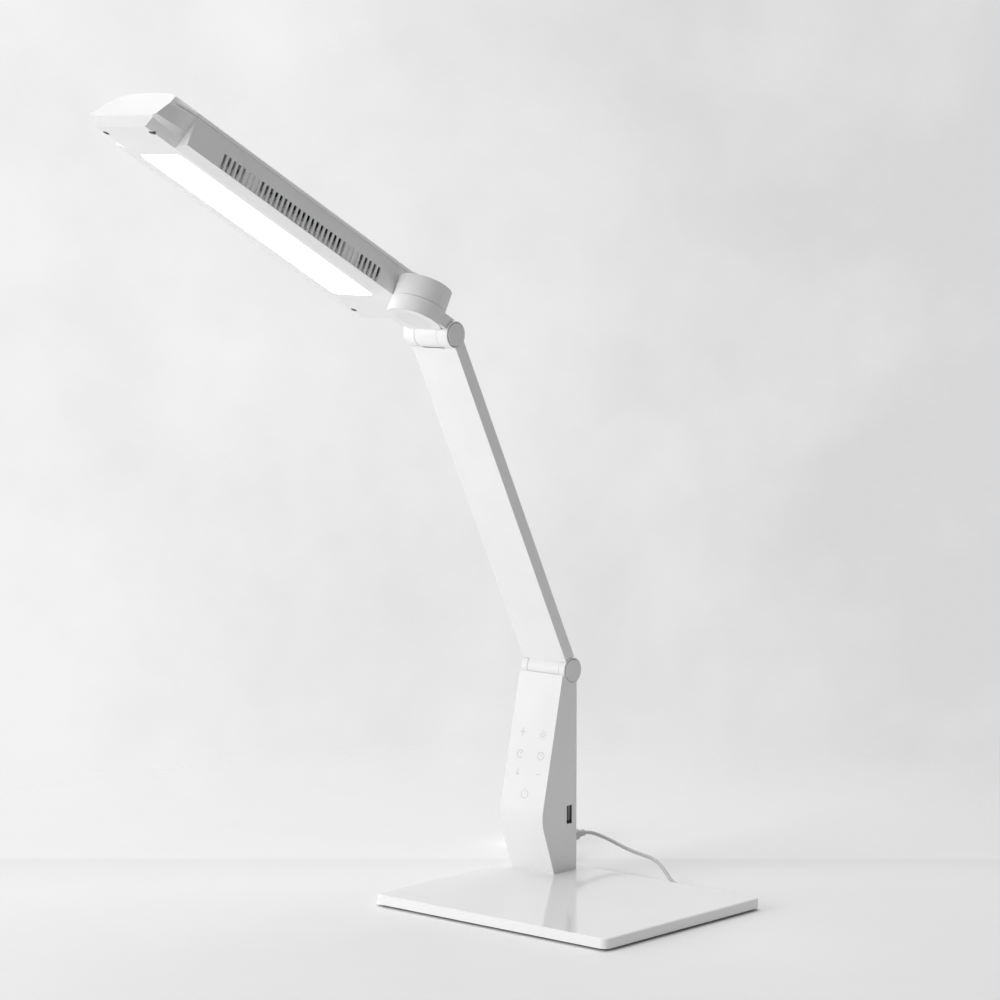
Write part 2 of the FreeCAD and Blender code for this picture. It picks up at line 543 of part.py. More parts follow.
for tag, offset in (("Left", "-up_barrel_half"), ("Right", "up_barrel_half - 2.5")):
    seat = ring(body, f"NeckWasherSeat{tag}", "YZ_Plane", offset, [("0", "0", "6")])
    solid_of(body, f"NeckWasherSeat{tag}Cut", "Pocket", seat, "2.5")
for name, low, radius, depth in (("NeckSwivelBore", "0", "swivel_rad + run_gap", "12"),
                                 ("NeckNutWell", "disc_low", "nut_recess", "3.5"),
                                 ("NeckWasherWell", "disc_top - 0.5", "14", "1")):
    well = ring(body, name, "XY_Plane", low, [("0", "-disc_u", radius)])
    solid_of(body, f"{name}Cut", "Pocket", well, depth)
keep(body, "neck", HEAD_FRAME)
washers("UpperFriction", "upper_friction_washers", HEAD_FRAME, "0", "5.6",
        [("-9.8", "-7.1"), ("7.1", "9.8")], ("0", "0"))


def disc_ring(name, outer, inner_rad, low, high):
    plate = rod(f"{name}Plate", outer, "Z", low, high, ("0", "-disc_u"))
    hole = rod(f"{name}Hole", inner_rad, "Z", f"{low} - 1", f"{high} + 1", ("0", "-disc_u"))
    return cut(name, plate, [hole])


stem = rod("SwivelStem", "swivel_rad", "Z", "-0.1", "13", ("0", "-disc_u"))
flange = rod("SwivelFlange", "8", "Z", "12.7", "14.2", ("0", "-disc_u"))
way = rod("SwivelWay", "3", "Z", "-1", "16", ("0", "-disc_u"))
keep(cut("SwivelAxle", fuse("SwivelSolid", [stem, flange]), [way]), "swivel_axle", HEAD_FRAME)
keep(disc_ring("SwivelWasher", "13.8", "swivel_rad + 0.2", "disc_top - 0.5", "hub_low - 0.1"),
     "swivel_washer", HEAD_FRAME)
keep(disc_ring("SpringWasher", "8", "swivel_rad + 0.2", "1.6", "2.5"), "swivel_spring_washer", HEAD_FRAME)
keep(disc_ring("SwivelNut", "8.2", "swivel_rad", "-0.1", "1.6"), "swivel_nut", HEAD_FRAME)
keep(rod("NeckCap", "nut_recess - 0.1", "Z", "disc_low", "-0.1", ("0", "-disc_u")), "neck_cap", HEAD_FRAME)

# ---------------------------------------------------------------- head
MID = "head_mid"


def mirrored(points):
    """Section points of the +X half, closed with their mirror about the head's middle."""
    right_side = [(f"{MID} + ({x})", n) for x, n in points]
    left_side = [(f"{MID} - ({x})", n) for x, n in reversed(points)]
    return right_side + left_side


MAIN_SECTION = [("flat_half", "head_low"), ("head_half", "ridge_n"), ("head_half - 0.5", "seam_n"),
                ("30.3", "33.6"), ("26", "36.1"), ("18.5", "38.8"), ("9", "crown_n")]
NOSE_REAR = [("22.1", "head_low"), ("23.7", "12"), ("25", "15"), ("27.1", "20"),
             ("head_half - 0.7", "seam_n"), ("30.3", "33.6"), ("26", "36.1"), ("18.5", "38.8"),
             ("9", "crown_n")]
NOSE_TIP = [("22.5", "head_low"), ("24.6", "12.4"), ("26.2", "15.6"), ("29.8", "17.2"),
            ("27.4", "26.5"), ("24.5", "31.5"), ("23.8", "36.7"), ("18", "38.8"), ("9", "crown_n")]


def visor_at(height, back="0"):
    """Sketch x of the raked visor plane at one height, moved back by some distance."""
    return f"-(visor_u - ({height} - visor_n) * visor_rake - ({back}))"


def head_blank(name):
    """Whole outer form of the head: long body, tapered nose and raked visor face."""
    blank = new_body(name)
    main = outline(blank, f"{name}Main", "XZ_Plane", "0", mirrored(MAIN_SECTION))
    solid_of(blank, f"{name}MainPad", "Pad", main, "nose_start")
    low_end = outline(blank, f"{name}NoseRear", "XZ_Plane", "nose_start", mirrored(NOSE_REAR))
    high_end = outline(blank, f"{name}NoseTip", "XZ_Plane", "nose_end", mirrored(NOSE_TIP))
    nose = blank.newObject("PartDesign::AdditiveLoft", f"{name}Nose")
    nose.Profile = low_end
    nose.Sections = [high_end]
    nose.Ruled = True
    doc.recompute()
    visor = outline(blank, f"{name}Visor", "YZ_Plane", f"{MID} - 60",
                    [("-lip_u", "head_low - 5"), ("-lip_u", "lip_n"), ("-visor_u", "visor_n"),
                     (visor_at("44.5"), "44.5"), ("-300", "44.5"), ("-300", "head_low - 5")])
    solid_of(blank, f"{name}VisorCut", "Pocket", visor, "120")
    return blank


body = head_blank("LowerShell")
inner = [("21.5", "head_low + 2"), ("head_half - 2", "ridge_n + 1.8"), ("head_half - 2.5", "seam_n + 12")]
hollow = outline(body, "ShellHollow", "XZ_Plane", "2", mirrored(inner))
solid_of(body, "ShellHollowCut", "Pocket", hollow, "nose_start - 4")
crop = outline(body, "ShellCrop", "YZ_Plane", f"{MID} - 60",
               [("5", "seam_n"), (visor_at("seam_n", "visor_thick"), "seam_n"),
                (visor_at("lip_n", "visor_thick"), "lip_n"), ("-300", "lip_n"), ("-300", "60"),
                ("5", "60")])
solid_of(body, "ShellCropCut", "Pocket", crop, "120")
hub = ring(body, "Hub", "XY_Plane", "hub_low", [("0", "-disc_u", "hub_rad")])
solid_of(body, "HubPad", "Pad", hub, "hub_top - hub_low")
# Inside, the hub is a cup: a floor under the axle's flange and an open side towards the head.
cup = ring(body, "HubCup", "XY_Plane", "hub_low + 2.5", [("0", "-disc_u", "hub_rad - 2.5")])
solid_of(body, "HubCupCut", "Pocket", cup, "9.5")
bore = ring(body, "HubBore", "XY_Plane", "hub_low - 1", [("0", "-disc_u", "swivel_rad + run_gap")])
solid_of(body, "HubBoreCut", "Pocket", bore, "6")
window = outline(body, "PanelWindow", "XY_Plane", "head_low - 1",
                 rectangle(f"{MID} - panel_half", f"{MID} + panel_half", "-panel_front", "-panel_rear"))
solid_of(body, "PanelWindowCut", "Pocket", window, "4")


def panel_corners(inset, height):
    """Corner edges of the light window, or of a plate set into it with some clearance."""
    x = size("panel_half") - inset
    return [Vector(size("head_mid") + side * x, -end, height) for side in (-1, 1)
            for end in (size("panel_front") - inset, size("panel_rear") + inset)]


round_edges(body, "PanelWindowCorners", "Fillet", "panel_round", panel_corners(0, size("head_low") + 1))
HEAD_SCREWS = [(f"{MID} {sx} screw_off", f"-screw_{end}") for sx in "-+" for end in ("rear", "front")]
studs = ring(body, "RearStuds", "XY_Plane", "head_low + 1.5",
             [(x, y, "3.4") for x, y in HEAD_SCREWS if "rear" in y])
solid_of(body, "RearStudPad", "Pad", studs, "8")
sinks = ring(body, "ShellSinks", "XY_Plane", "head_low - 1", [(x, y, "2.3") for x, y in HEAD_SCREWS])
solid_of(body, "ShellSinkCut", "Pocket", sinks, "3")
holes = ring(body, "ShellHoles", "XY_Plane", "head_low", [(x, y, "1.55") for x, y in HEAD_SCREWS])
solid_of(body, "ShellHoleCut", "Pocket", holes, "13")
slot = outline(body, "VentSlot", "YZ_Plane", f"{MID} - 45",
               rectangle("-slot_first - slot_wide", "-slot_first", "slot_low", "slot_top"))
vent = solid_of(body, "VentCut", "Pocket", slot, "90")
row = body.newObject("PartDesign::LinearPattern", "VentRow")
row.Originals = [vent]
row.Direction = (plane_of(body, "Y_Axis"), [""])
row.Reversed = True
row.setExpression("Length", bind("slot_pitch * (slot_count - 1)"))
row.setExpression("Occurrences", bind("slot_count"))
body.Tip = row
doc.recompute()
if row.Shape.Volume > vent.Shape.Volume - 100:
    raise RuntimeError("the vent row cut nothing")
thin = "head_half - 0.15 - vent_wall"
for tag, side in (("Left", "-"), ("Right", "+")):
    edges = (f"{MID} {side} ({thin})", f"{MID} {side} ({thin} - 2.5)")
    low_x, high_x = edges if side == "-" else edges[::-1]
    relief = outline(body, f"VentRelief{tag}", "XZ_Plane", "slot_first - 2",
                     rectangle(low_x, high_x, "vent_low", "slot_top + 0.8"))
    solid_of(body, f"VentRelief{tag}Cut", "Pocket", relief, "slot_pitch * slot_count + 2")
# Stiffening blocks close the slots from inside at two places on each wall.
for i, side in enumerate("--++"):
    u_low = f"slot_first - 1 + slot_pitch * {(5, 27)[i % 2]}"
    edge_in = f"{MID} {side} (head_half - 5.5)"
    edge_out = f"{MID} {side} ({thin} + 0.05)"
    low_x, high_x = (edge_out, edge_in) if side == "-" else (edge_in, edge_out)
    rib = outline(body, f"WallRib{i}", "XY_Plane", "ridge_n + 0.4",
                  rectangle(low_x, high_x, f"-({u_low} + slot_pitch * 3)", f"-({u_low})"))
    solid_of(body, f"WallRibPad{i}", "Pad", rib, "13")
keep(body, "head_lower_shell", HEAD_FRAME)

body = head_blank("Roof")
crop = outline(body, "RoofCrop", "YZ_Plane", f"{MID} - 60",
               [("5", "seam_n"), (visor_at("seam_n", "visor_thick"), "seam_n"),
                (visor_at("lip_n + visor_gap", "visor_thick"), "lip_n + visor_gap"),
                ("-300", "lip_n + visor_gap"), ("-300", "0"), ("5", "0")])
solid_of(body, "RoofCropCut", "Pocket", crop, "120")
under = outline(body, "RoofHollow", "XZ_Plane", "2",
                mirrored([("head_half - 2.5", "seam_n - 1"), ("27.6", "33.2"), ("17.6", "36.6"),
                          ("8.5", "crown_n - 2")]))
solid_of(body, "RoofHollowCut", "Pocket", under, "nose_start - 2")
studs = ring(body, "RoofStuds", "XY_Plane", "19.1", [(x, y, "3.4") for x, y in HEAD_SCREWS if "rear" in y])
solid_of(body, "RoofStudPad", "Pad", studs, "18.4")
pilots = ring(body, "RoofPilots", "XY_Plane", "18", [(x, y, "1.55") for x, y in HEAD_SCREWS if "rear" in y])
solid_of(body, "RoofPilotCut", "Pocket", pilots, "12")
# A shadow gap runs along the parting line on both sides and round the rear.
rim = "head_half - 1.2"
gap = outline(body, "SeamGap", "XY_Plane", "seam_n",
              [(f"{MID} + 40", "-seam_front"), (f"{MID} + 40", "5"), (f"{MID} - 40", "5"),
               (f"{MID} - 40", "-seam_front"), (f"{MID} - 26.6", "-seam_front"),
               (f"{MID} - ({rim})", "-nose_start"), (f"{MID} - ({rim})", "-0.7"),
               (f"{MID} + {rim}", "-0.7"), (f"{MID} + {rim}", "-nose_start"),
               (f"{MID} + 26.6", "-seam_front")])
solid_of(body, "SeamGapCut", "Pocket", gap, "seam_gap")
keep(body, "head_roof", HEAD_FRAME)

keep(group("HeadScrews", [
    screw(f"HeadScrew{i}", "Z", (x, y), ("head_low + 0.3", "head_low + 2"),
          ("head_low + 1.9", "20"), "2.2", "1.5")
    for i, (x, y) in enumerate(HEAD_SCREWS)]), "head_screws", HEAD_FRAME)


def head_box(name, half, rear, front, low, high):
    return box(name, [(f"{MID} - {half}", f"{MID} + {half}"), (f"-({front})", f"-({rear})"), (low, high)])


floor_n = "head_low + 2"
body = new_body("Diffuser")
lens = outline(body, "PanelLens", "XY_Plane", "head_low + 0.2",
               rectangle(f"{MID} - panel_half + 0.1", f"{MID} + panel_half - 0.1",
                         "-panel_front + 0.1", "-panel_rear - 0.1"))
solid_of(body, "PanelLensPad", "Pad", lens, f"{floor_n} - (head_low + 0.2)")
round_edges(body, "PanelLensCorners", "Fillet", "panel_round - 0.1",
            panel_corners(0.1, size("head_low") + 1.1))
lip = outline(body, "PanelLip", "XY_Plane", floor_n,
              rectangle(f"{MID} - panel_half - 2", f"{MID} + panel_half + 2",
                        "-panel_front - 2", "-panel_rear + 2"))
solid_of(body, "PanelLipPad", "Pad", lip, "1.2")
keep(body, "light_diffuser", HEAD_FRAME)
frame_box = head_box("ReflectorFrame", "21", "panel_rear - 3", "panel_front + 3", f"{floor_n} + 1.2", "20")
opening = head_box("ReflectorOpening", "19.8", "panel_rear - 1.8", "panel_front + 1.8", floor_n, "21")
keep(cut("Reflector", frame_box, [opening]), "light_reflector", HEAD_FRAME)
keep(head_box("LedBoard", "21", "panel_rear - 3", "panel_front + 3", "20", "21.6"), "led_board", HEAD_FRAME)
chips = []
for i in range(3):
    for j in range(14):
        x = f"{MID} + {(i - 1) * 13}"
        y = f"-(panel_rear + 9 + {j} * 13.7)"
        chips.append(box(f"Led{i}x{j}", [(f"{x} - 2.5", f"{x} + 2.5"), (f"{y} - 2.5", f"{y} + 2.5"),
                                         ("19.2", "20")]))
keep(group("Leds", chips), "leds", HEAD_FRAME)
sink = head_box("SinkPlate", "21", "panel_rear - 3", "panel_front + 3", "21.6", "23.1")
posts = [rod(f"SinkPost{i}", "2", "Z", "23", "28", (f"{MID} {sx} 15", f"-{u}"))
         for i, (sx, u) in enumerate((("-", 64), ("+", 64), ("-", 136), ("+", 136)))]
keep(fuse("HeatSink", [sink] + posts), "heat_sink_plate", HEAD_FRAME)
keep(head_box("DriverBoard", "18", "58", "142", "28", "29.6"), "driver_board", HEAD_FRAME)

# ---------------------------------------------------------------- plug, lead and adapter
grip = rod("PlugGrip", "3.9", "Y", "post_rear + 0.4", "92", ("post_x", "plug_z"))
collar = rod("PlugRelief", "2.4", "Y", "92", "99", ("post_x", "plug_z"))
barrel = rod("PlugBarrel", "2.75", "Y", "57", "post_rear + 0.4", ("post_x", "plug_z"))
keep(fuse("DcPlug", [grip, collar, barrel]), "dc_plug", WORLD)


def tube(name, node, points):
    """Round lead along straight runs joined by tangent arcs through the route's corners."""
    spots = [Vector(*point) for point in points]
    edges = []
    start = spots[0]
    radii = []
    for before, corner, after in zip(spots, spots[1:], spots[2:]):
        run_in = (before - corner)
        run_out = (after - corner)
        reach = 0.45 * min(run_in.Length, run_out.Length)
        run_in.normalize()
        run_out.normalize()
        half_turn = (math.pi - run_in.getAngle(run_out)) / 2
        bend = reach / math.tan(half_turn)
        radii.append(round(bend, 1))
        enter = corner + run_in * reach
        leave = corner + run_out * reach
        bisector = (run_in + run_out).normalize()
        middle = corner + bisector * (bend / math.cos(half_turn) - bend)
        edges.append(Part.LineSegment(start, enter).toShape())
        edges.append(Part.Arc(enter, middle, leave).toShape())
        start = leave
    edges.append(Part.LineSegment(start, spots[-1]).toShape())
    path = Part.Wire(edges)
    radius = size("lead_dia") / 2
    section = Part.Wire(Part.makeCircle(radius, spots[0], spots[1] - spots[0]))
    shape = path.makePipeShell([section], True, False)
    thing = doc.addObject("Part::Feature", name)
    thing.Shape = shape
    ideal = math.pi * radius ** 2 * path.Length
    print(node, "length", round(path.Length, 1), "volume ratio", round(shape.Volume / ideal, 4))
    print(node, "radii", radii)
    keep(thing, node, WORLD)
    return path.Length


# Lead: out of the plug, round to +X behind the foot, down to the rest surface, back along the
# foot's rear edge and into the coil behind the post.
ON_FLOOR = size("lead_dia") / 2 + 0.1
LEAD_ROUTE = [
    (-69.7, 99.0, 26.0), (-69.5, 105.5, 25.6), (-65.5, 111.0, 23.2), (-56.5, 113.0, 20.4),
    (-46.5, 112.0, 18.0), (-36.0, 111.0, 15.9), (-25.5, 110.0, 14.8), (-15.5, 108.5, 14.1),
    (-6.0, 105.5, 11.4), (1.5, 102.6, 7.4), (7.6, 100.2, 3.4), (14.0, 98.7, ON_FLOOR),
    (20.7, 98.4, ON_FLOOR), (25.5, 93.8, ON_FLOOR), (25.6, 87.1, ON_FLOOR), (21.0, 82.5, ON_FLOOR),
    (14.2, 82.5, ON_FLOOR), (4.5, 83.7, ON_FLOOR), (-9.0, 84.4, ON_FLOOR), (-26.0, 83.5, ON_FLOOR),
    (-45.0, 84.9, ON_FLOOR), (-64.0, 84.2, ON_FLOOR), (-84.0, 85.9, ON_FLOOR),
    (-104.0, 85.75, ON_FLOOR),
]
tube("PowerLead", "power_lead", LEAD_ROUTE)
COIL_X = -112.0
COIL_Y = 103.5
COIL_TOP = 12.6
ring_out = rod("CoilOut", "19", "Z", "0.1", str(COIL_TOP), (str(COIL_X), str(COIL_Y)))
ring_in = rod("CoilIn", "11", "Z", "-1", "20", (str(COIL_X), str(COIL_Y)))
keep(cut("LeadCoil", ring_out, [ring_in]), "lead_coil", WORLD)

# The adapter lies behind the coil on its own axis, pins away from it.
AXIS_TURN = 41.5
ADAPTER_FRAME = Placement(Vector(COIL_X, COIL_Y, 0), Rotation(Vector(0, 0, 1), AXIS_TURN))
TAIL_ROUTE = [(-12.0, 2.0, 13.9), (-11.3, 10.0, 14.3), (-8.2, 18.0, 14.2), (-5.2, 25.5, 13.4),
              (-4.0, 34.0, 12.5)]
tube("LeadTail", "lead_tail", [tuple(ADAPTER_FRAME.multVec(Vector(*point))) for point in TAIL_ROUTE])
case = box("AdapterBlock", [("-4 - 13.5", "-4 + 13.5"), ("38", "72"), ("0", "25")])
soft = doc.addObject("Part::Fillet", "AdapterCase")
soft.Base = case
doc.recompute()
soft.Edges = [(index, 2.5, 2.5) for index, edge in enumerate(case.Shape.Edges, start=1)
              if edge.CenterOfMass.z > 1]
collar = rod("AdapterRelief", "2.4", "Y", "34", "38", ("-4", "12.5"))
keep(fuse("Adapter", [soft, collar]), "adapter_case", ADAPTER_FRAME)
keep(group("AdapterPins", [rod(f"AdapterPin{i}", "2", "Y", "72", "91", (x, "12.5"))
                           for i, x in enumerate(("-4 - 9.5", "-4 + 9.5"))]), "adapter_pins", ADAPTER_FRAME)

doc.recompute()
for thing in doc.Objects:
    if "Invalid" in thing.State or "Error" in thing.State:
        raise RuntimeError(f"{thing.Name} failed: {thing.State}")
for node in NODES:
    shape = node.Shape
    if shape.isNull() or not shape.isValid() or shape.Volume <= 0:
        raise RuntimeError(f"{node.Label} has no valid shape")
    print(f"{node.Label:24} solids {len(shape.Solids):3} volume {shape.Volume:11.1f}")
for node in NODES:
    node.Shape.exportStep(f"parts/{node.Label}.step")
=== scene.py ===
import math

import bmesh
import bpy
from mathutils import Euler, Matrix, Vector


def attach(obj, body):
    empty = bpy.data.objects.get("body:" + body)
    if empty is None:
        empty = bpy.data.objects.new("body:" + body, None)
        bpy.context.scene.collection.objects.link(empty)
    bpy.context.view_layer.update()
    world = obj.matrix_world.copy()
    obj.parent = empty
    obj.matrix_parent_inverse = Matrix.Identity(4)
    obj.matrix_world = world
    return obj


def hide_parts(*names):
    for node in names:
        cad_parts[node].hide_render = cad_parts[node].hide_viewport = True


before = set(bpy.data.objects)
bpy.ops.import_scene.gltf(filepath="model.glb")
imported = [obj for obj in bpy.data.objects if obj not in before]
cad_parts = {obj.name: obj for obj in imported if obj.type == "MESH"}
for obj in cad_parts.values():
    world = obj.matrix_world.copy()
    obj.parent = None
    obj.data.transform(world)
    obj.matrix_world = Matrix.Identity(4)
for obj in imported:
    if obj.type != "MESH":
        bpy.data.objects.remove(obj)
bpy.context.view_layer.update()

MM_PER_M = 1000

# ---------------------------------------------------------------- camera
# The photograph's viewpoint: 41.5 degrees round to the right, 6 degrees above level, long lens.
AZIMUTH = math.radians(41.48)
PITCH = math.radians(5.98)
EYE = (1.45335, -1.71128, 0.5072)
SENSOR_MM = 36.0
LENS_MM = 123.907
FAR_CLIP = 50.0

camera_data = bpy.data.cameras.new("camera")
camera_data.sensor_width = SENSOR_MM
camera_data.lens = LENS_MM
camera_data.clip_end = FAR_CLIP
camera = bpy.data.objects.new("camera", camera_data)
camera.location = EYE
camera.rotation_euler = Euler((math.pi / 2 - PITCH, 0.0, AZIMUTH))
bpy.context.collection.objects.link(camera)
bpy.context.scene.camera = camera
bpy.context.scene.view_settings.view_transform = "Standard"


# ---------------------------------------------------------------- shader helpers
def new_material(name):
    material = bpy.data.materials.new(name)
    material.use_nodes = True
    tree = material.node_tree
    return material, tree, tree.nodes["Principled BSDF"]


def link(tree, out, into):
    tree.links.new(out, into)


def coords(tree, space="Object"):
    return tree.nodes.new("ShaderNodeTexCoord").outputs[space]


def noise(tree, scale, detail, rough=0.55, stretch=None, space="Object"):
    node = tree.nodes.new("ShaderNodeTexNoise")
    node.inputs["Scale"].default_value = scale
    node.inputs["Detail"].default_value = detail
    node.inputs["Roughness"].default_value = rough
    out = coords(tree, space)
    if stretch:
        mapping = tree.nodes.new("ShaderNodeMapping")
        mapping.inputs["Scale"].default_value = stretch
        link(tree, out, mapping.inputs["Vector"])
        out = mapping.outputs["Vector"]
    link(tree, out, node.inputs["Vector"])
    return node.outputs["Fac"]


def ramp(tree, fac, stops):
    """Greys or colours at places from 0 to 1, blended between them."""
    node = tree.nodes.new("ShaderNodeValToRGB")
    while len(node.color_ramp.elements) < len(stops):
        node.color_ramp.elements.new(0.5)
    for element, (place, colour) in zip(node.color_ramp.elements, stops):
        element.position = place
        element.color = (*colour, 1.0)
    link(tree, fac, node.inputs["Fac"])
    return node.outputs["Color"]


def spread(tree, value, low, high, start=0.0, stop=1.0, blend="LINEAR"):
    """Maps a value from start..stop to low..high."""
    node = tree.nodes.new("ShaderNodeMapRange")
    node.interpolation_type = blend
    node.inputs["From Min"].default_value = start
    node.inputs["From Max"].default_value = stop
    node.inputs["To Min"].default_value = low
    node.inputs["To Max"].default_value = high
    link(tree, value, node.inputs["Value"])
    return node.outputs["Result"]


def maths(tree, operation, first, second):
    node = tree.nodes.new("ShaderNodeMath")
    node.operation = operation
    link(tree, first, node.inputs[0])
    link(tree, second, node.inputs[1])
    return node.outputs[0]


def dot(tree, vector, direction):
    node = tree.nodes.new("ShaderNodeVectorMath")
    node.operation = "DOT_PRODUCT"
    link(tree, vector, node.inputs[0])
    node.inputs[1].default_value = direction
    return node.outputs["Value"]


def length(tree, vector):
    node = tree.nodes.new("ShaderNodeVectorMath")
    node.operation = "LENGTH"
    link(tree, vector, node.inputs[0])
    return node.outputs["Value"]


def bump(tree, shader, height, strength, distance):
    node = tree.nodes.new("ShaderNodeBump")
    node.inputs["Strength"].default_value = strength
    node.inputs["Distance"].default_value = distance
    link(tree, height, node.inputs["Height"])
    link(tree, node.outputs["Normal"], shader.inputs["Normal"])


def grey(value):
    return (value, value, value)


# ---------------------------------------------------------------- materials
PLASTIC_SPECULAR = 0.45
PLASTIC_GRAIN = 900.0
COAT_ROUGHNESS = 0.05
GRAIN_STRENGTH = 0.25
BRUSH_STRENGTH = 0.2
BRUSH_DEPTH = 0.00002
BRUSH_SHADE = 0.85
BRUSH_GLOSS = (0.8, 1.3)
LAMP_EMISSION = 3.0


def plastic(name, colour, rough=(0.28, 0.36), depth=0.00003, coat=0.0, vary=0.015):
    """Moulded plastic: a fine spark-eroded grain, faint shade and gloss variation."""
    material, tree, shader = new_material(name)
    cloud = noise(tree, scale=22.0, detail=3.0)
    dark = tuple(max(channel - vary, 0.0) for channel in colour)
    light = tuple(min(channel + vary, 1.0) for channel in colour)
    link(tree, ramp(tree, cloud, [(0.3, dark), (0.7, light)]), shader.inputs["Base Color"])
    smear = noise(tree, scale=60.0, detail=5.0, rough=0.65)
    link(tree, spread(tree, smear, *rough), shader.inputs["Roughness"])
    shader.inputs["Specular IOR Level"].default_value = PLASTIC_SPECULAR
    shader.inputs["Coat Weight"].default_value = coat
    shader.inputs["Coat Roughness"].default_value = COAT_ROUGHNESS
    bump(tree, shader, noise(tree, scale=PLASTIC_GRAIN, detail=2.0), GRAIN_STRENGTH, depth)
    return material


def metal(name, colour, rough, brushed=(1, 1, 1)):
    """Metal with fine brushing along one axis and uneven polish."""
    material, tree, shader = new_material(name)
    shader.inputs["Metallic"].default_value = 1.0
    grain = noise(tree, scale=300.0, detail=4.0, rough=0.6, stretch=brushed)
    dark = tuple(channel * BRUSH_SHADE for channel in colour)
    link(tree, ramp(tree, grain, [(0.25, dark), (0.75, colour)]), shader.inputs["Base Color"])
    low, high = (rough * share for share in BRUSH_GLOSS)
    link(tree, spread(tree, grain, low, high), shader.inputs["Roughness"])
    bump(tree, shader, grain, BRUSH_STRENGTH, BRUSH_DEPTH)
    return material


def rubber():
    """Black sheet with a pebbled surface."""
    material, tree, shader = new_material("mat rubber")
    cells = tree.nodes.new("ShaderNodeTexVoronoi")
    cells.inputs["Scale"].default_value = 900.0
    link(tree, coords(tree), cells.inputs["Vector"])
    link(tree, ramp(tree, cells.outputs["Distance"], [(0.0, grey(0.035)), (1.0, grey(0.07))]),
         shader.inputs["Base Color"])
    shader.inputs["Roughness"].default_value = 0.85
    bump(tree, shader, cells.outputs["Distance"], strength=0.5, distance=0.0002)
    return material


def circuit():
    """Solder mask in oblong fields with lighter tracks between them."""
    material, tree, shader = new_material("board green")
    bricks = tree.nodes.new("ShaderNodeTexBrick")
    bricks.inputs["Scale"].default_value = 220.0
    bricks.inputs["Color1"].default_value = (0.02, 0.16, 0.07, 1)
    bricks.inputs["Color2"].default_value = (0.03, 0.22, 0.10, 1)
    bricks.inputs["Mortar"].default_value = (0.05, 0.32, 0.16, 1)
    link(tree, coords(tree), bricks.inputs["Vector"])
    link(tree, bricks.outputs["Color"], shader.inputs["Base Color"])
    shader.inputs["Roughness"].default_value = 0.35
    return material


def glowing():
    """Opal acrylic sheet lit evenly from behind."""
    material, tree, shader = new_material("diffuser opal")
    cloud = noise(tree, scale=9.0, detail=2.0)
    link(tree, ramp(tree, cloud, [(0.3, grey(0.95)), (0.7, grey(1.0))]),
         shader.inputs["Base Color"])
    shader.inputs["Roughness"].default_value = 0.35
    shader.inputs["Emission Color"].default_value = (1.0, 1.0, 1.0, 1.0)
    shader.inputs["Emission Strength"].default_value = LAMP_EMISSION
    bump(tree, shader, noise(tree, scale=1200.0, detail=2.0), strength=0.2, distance=0.00002)
    return material


WHITE = plastic("shell white", grey(0.86))
FOOT = plastic("foot gloss", grey(0.94), rough=(0.09, 0.15), depth=0.000004, coat=0.3, vary=0.008)
CAPS = plastic("cap white", grey(0.80), rough=(0.33, 0.42))
OPAL_RIM = plastic("reflector white", grey(0.85), rough=(0.4, 0.5))
NYLON = plastic("washer nylon", grey(0.72), rough=(0.45, 0.55))
BLACK = plastic("component black", grey(0.03), rough=(0.35, 0.5))
SHEATH = plastic("lead sheath", (0.56, 0.56, 0.57), rough=(0.42, 0.55), depth=0.00005)
ADAPTER = plastic("adapter white", grey(0.80), rough=(0.38, 0.48))
TONGUE = plastic("port tongue", grey(0.78), rough=(0.4, 0.5))
PRINT = plastic("touch print", grey(0.62), rough=(0.4, 0.5), vary=0.03)
BLACKENED = metal("blackened steel", (0.07, 0.07, 0.075), 0.42)
STEEL = metal("screw steel", (0.30, 0.30, 0.31), 0.38)
PLATE = metal("weight steel", (0.45, 0.45, 0.46), 0.42, brushed=(1, 12, 1))
CHROME = metal("port metal", (0.62, 0.62, 0.63), 0.22)
SINK = metal("board aluminium", (0.72, 0.73, 0.74), 0.35, brushed=(1, 10, 1))
RUBBER = rubber()
GREEN = circuit()
OPAL = glowing()

SLOTS = {
    "base_cover": FOOT, "base_weight": PLATE, "base_mat": RUBBER, "base_screws": STEEL,
    "post_base_screws": STEEL, "post_housing": WHITE, "post_rear_cover": WHITE,
    "post_screws": STEEL, "touch_board": GREEN, "control_board": GREEN,
    "board_components": BLACK, "usb_socket": CHROME, "usb_tongue": TONGUE, "dc_jack": BLACK,
    "lower_axle": STEEL, "lower_axle_nut": STEEL, "lower_hinge_caps": CAPS,
    "lower_friction_washers": NYLON, "arm_front_shell": WHITE, "arm_rear_cover": WHITE,
    "arm_screws": STEEL, "arm_core": PLATE, "arm_ribbon_cable": SHEATH, "upper_axle": STEEL,
    "upper_axle_nut": STEEL, "upper_hinge_caps": CAPS, "upper_friction_washers": NYLON,
    "neck": WHITE, "neck_cap": CAPS, "swivel_axle": STEEL, "swivel_washer": NYLON,
    "swivel_spring_washer": STEEL, "swivel_nut": STEEL, "head_lower_shell": WHITE,
    "head_roof": WHITE, "head_screws": BLACKENED, "light_diffuser": OPAL,
    "light_reflector": OPAL_RIM, "led_board": SINK, "leds": OPAL_RIM, "heat_sink_plate": SINK,
    "driver_board": GREEN, "dc_plug": SHEATH, "lead_tail": SHEATH, "adapter_case": ADAPTER,
    "adapter_pins": CHROME,
}
for node, material in SLOTS.items():
    for slot in bpy.data.objects[node].material_slots:
        slot.material = material

# ---------------------------------------------------------------- roof shading
CROWN_LIMIT = math.radians(22.0)
WELD_DISTANCE = 0.000001


